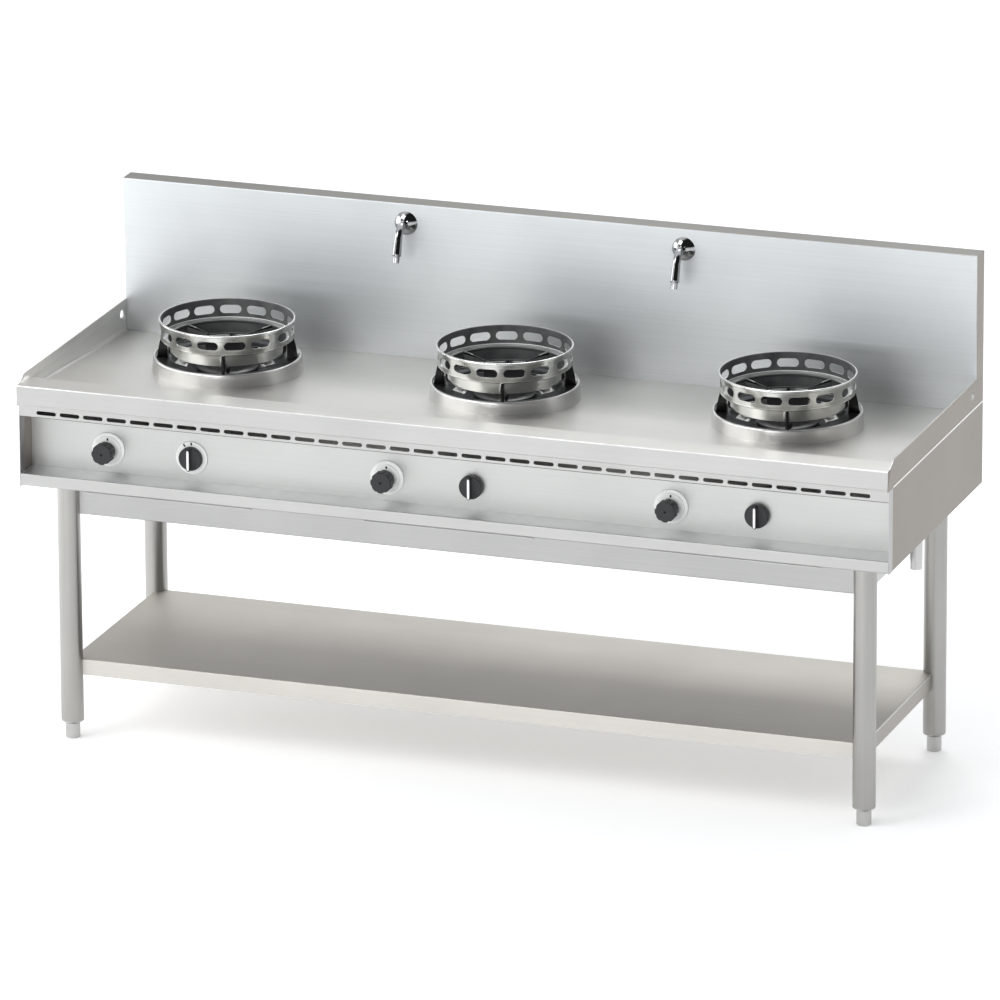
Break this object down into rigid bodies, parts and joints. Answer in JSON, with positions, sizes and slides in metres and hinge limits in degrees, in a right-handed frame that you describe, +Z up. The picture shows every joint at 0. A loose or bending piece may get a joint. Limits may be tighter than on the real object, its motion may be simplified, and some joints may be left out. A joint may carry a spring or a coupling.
{
  "type": "wok range",
  "caption": "Free-standing gas wok range on an open leg frame: sunk worktop, tall splashback with swivel spouts, lift-off perforated wok rings, recessed controls and an undershelf.",
  "frame": {"origin": "on the floor under the middle of the range's outline", "axes": "+X to the cook's right along the range, +Y to the rear, +Z up"},
  "size_m": [2, 0.705, 1.135],
  "materials": {
    "satin_steel": "satin brushed stainless sheet",
    "frame_steel": "satin brushed stainless sheet",
    "tube_steel": "polished stainless tube",
    "foot_steel": "turned stainless",
    "collar_steel": "turned stainless, brushed round",
    "dish_iron": "dark enamelled steel",
    "head_iron": "cast iron",
    "ring_steel": "bright stainless sheet",
    "knob_plastic": "dark grey moulded plastic",
    "bezel_plastic": "white moulded plastic",
    "spindle_steel": "turned steel",
    "valve_brass": "machined brass",
    "pipe_steel": "drawn steel pipe",
    "tap_chrome": "polished chrome",
    "bolt_steel": "stainless bolts"
  },
  "bodies": {
    "range": {"body_bolts": "bolt_steel", "burner_collar_left": "collar_steel", "burner_collar_middle": "collar_steel", "burner_collar_right": "collar_steel", "burner_dish_left": "dish_iron", "burner_dish_middle": "dish_iron", "burner_dish_right": "dish_iron", "burner_feeds": "pipe_steel", "burner_head_left": "head_iron", "burner_head_middle": "head_iron", "burner_head_right": "head_iron", "burner_pan_left": "satin_steel", "burner_pan_middle": "satin_steel", "burner_pan_right": "satin_steel", "control_panel": "satin_steel", "front_frame": "satin_steel", "front_lip": "satin_steel", "gas_manifold": "pipe_steel", "gas_valves": "valve_brass", "leg_front_left": "tube_steel", "leg_front_right": "tube_steel", "leg_plugs": "foot_steel", "leg_rear_left": "tube_steel", "leg_rear_right": "tube_steel", "pilot_bezel": "bezel_plastic", "pilot_burners": "pipe_steel", "pilot_valves": "valve_brass", "rail_front": "frame_steel", "rail_left": "frame_steel", "rail_rear": "frame_steel", "rail_right": "frame_steel", "rear_panel": "satin_steel", "side_panel_left": "satin_steel", "side_panel_right": "satin_steel", "splashback": "satin_steel", "splashback_rear_cover": "satin_steel", "tap_rosettes": "tap_chrome", "undershelf": "frame_steel", "valve_bezels": "bezel_plastic", "water_pipe": "pipe_steel", "worktop": "satin_steel"},
    "spindle_left": {"valve_spindle_left": "spindle_steel"},
    "gas_knob_left": {"valve_knob_left": "knob_plastic"},
    "pilot_knob_left": {"pilot_knob_left": "knob_plastic"},
    "wok_ring_left": {"wok_ring_left": "ring_steel"},
    "spindle_middle": {"valve_spindle_middle": "spindle_steel"},
    "gas_knob_middle": {"valve_knob_middle": "knob_plastic"},
    "pilot_knob_middle": {"pilot_knob_middle": "knob_plastic"},
    "wok_ring_middle": {"wok_ring_middle": "ring_steel"},
    "spindle_right": {"valve_spindle_right": "spindle_steel"},
    "gas_knob_right": {"valve_knob_right": "knob_plastic"},
    "pilot_knob_right": {"pilot_knob_right": "knob_plastic"},
    "wok_ring_right": {"wok_ring_right": "ring_steel"},
    "spout_left": {"tap_spout_left": "tap_chrome"},
    "foot_front_left": {"foot_front_left": "foot_steel"},
    "foot_rear_left": {"foot_rear_left": "foot_steel"},
    "spout_right": {"tap_spout_right": "tap_chrome"},
    "foot_front_right": {"foot_front_right": "foot_steel"},
    "foot_rear_right": {"foot_rear_right": "foot_steel"}
  },
  "joints": [
    {"name": "gas_turn_left", "type": "hinge", "parent": "range", "child": "spindle_left", "pos_m": [-0.816, -0.273, 0.685], "axis": [0, -1, 0], "range_deg": [0, 270]},
    {"name": "gas_push_left", "type": "slide", "parent": "spindle_left", "child": "gas_knob_left", "axis": [0, 1, 0], "range_m": [0, 0.004], "stiffness_N_per_m": 1500},
    {"name": "pilot_turn_left", "type": "hinge", "parent": "range", "child": "pilot_knob_left", "pos_m": [-0.62, -0.273, 0.685], "axis": [0, -1, 0], "range_deg": [0, 90]},
    {"name": "wok_ring_lift_left", "type": "slide", "parent": "range", "child": "wok_ring_left", "axis": [0, 0, 1], "range_m": [0, 0.12]},
    {"name": "gas_turn_middle", "type": "hinge", "parent": "range", "child": "spindle_middle", "pos_m": [-0.164, -0.273, 0.685], "axis": [0, -1, 0], "range_deg": [0, 270]},
    {"name": "gas_push_middle", "type": "slide", "parent": "spindle_middle", "child": "gas_knob_middle", "axis": [0, 1, 0], "range_m": [0, 0.004], "stiffness_N_per_m": 1500},
    {"name": "pilot_turn_middle", "type": "hinge", "parent": "range", "child": "pilot_knob_middle", "pos_m": [0.032, -0.273, 0.685], "axis": [0, -1, 0], "range_deg": [0, 90]},
    {"name": "wok_ring_lift_middle", "type": "slide", "parent": "range", "child": "wok_ring_middle", "axis": [0, 0, 1], "range_m": [0, 0.12]},
    {"name": "gas_turn_right", "type": "hinge", "parent": "range", "child": "spindle_right", "pos_m": [0.488, -0.273, 0.685], "axis": [0, -1, 0], "range_deg": [0, 270]},
    {"name": "gas_push_right", "type": "slide", "parent": "spindle_right", "child": "gas_knob_right", "axis": [0, 1, 0], "range_m": [0, 0.004], "stiffness_N_per_m": 1500},
    {"name": "pilot_turn_right", "type": "hinge", "parent": "range", "child": "pilot_knob_right", "pos_m": [0.684, -0.273, 0.685], "axis": [0, -1, 0], "range_deg": [0, 90]},
    {"name": "wok_ring_lift_right", "type": "slide", "parent": "range", "child": "wok_ring_right", "axis": [0, 0, 1], "range_m": [0, 0.12]},
    {"name": "spout_swing_left", "type": "hinge", "parent": "range", "child": "spout_left", "pos_m": [-0.325, 0.3011, 1.09], "axis": [0, 1, 0], "range_deg": [-90, 90]},
    {"name": "foot_screw_front_left", "type": "slide", "parent": "range", "child": "foot_front_left", "axis": [0, 0, -1], "range_m": [0, 0.02]},
    {"name": "foot_screw_rear_left", "type": "slide", "parent": "range", "child": "foot_rear_left", "axis": [0, 0, -1], "range_m": [0, 0.02]},
    {"name": "spout_swing_right", "type": "hinge", "parent": "range", "child": "spout_right", "pos_m": [0.325, 0.3011, 1.09], "axis": [0, 1, 0], "range_deg": [-90, 90]},
    {"name": "foot_screw_front_right", "type": "slide", "parent": "range", "child": "foot_front_right", "axis": [0, 0, -1], "range_m": [0, 0.02]},
    {"name": "foot_screw_rear_right", "type": "slide", "parent": "range", "child": "foot_rear_right", "axis": [0, 0, -1], "range_m": [0, 0.02]}
  ]
}
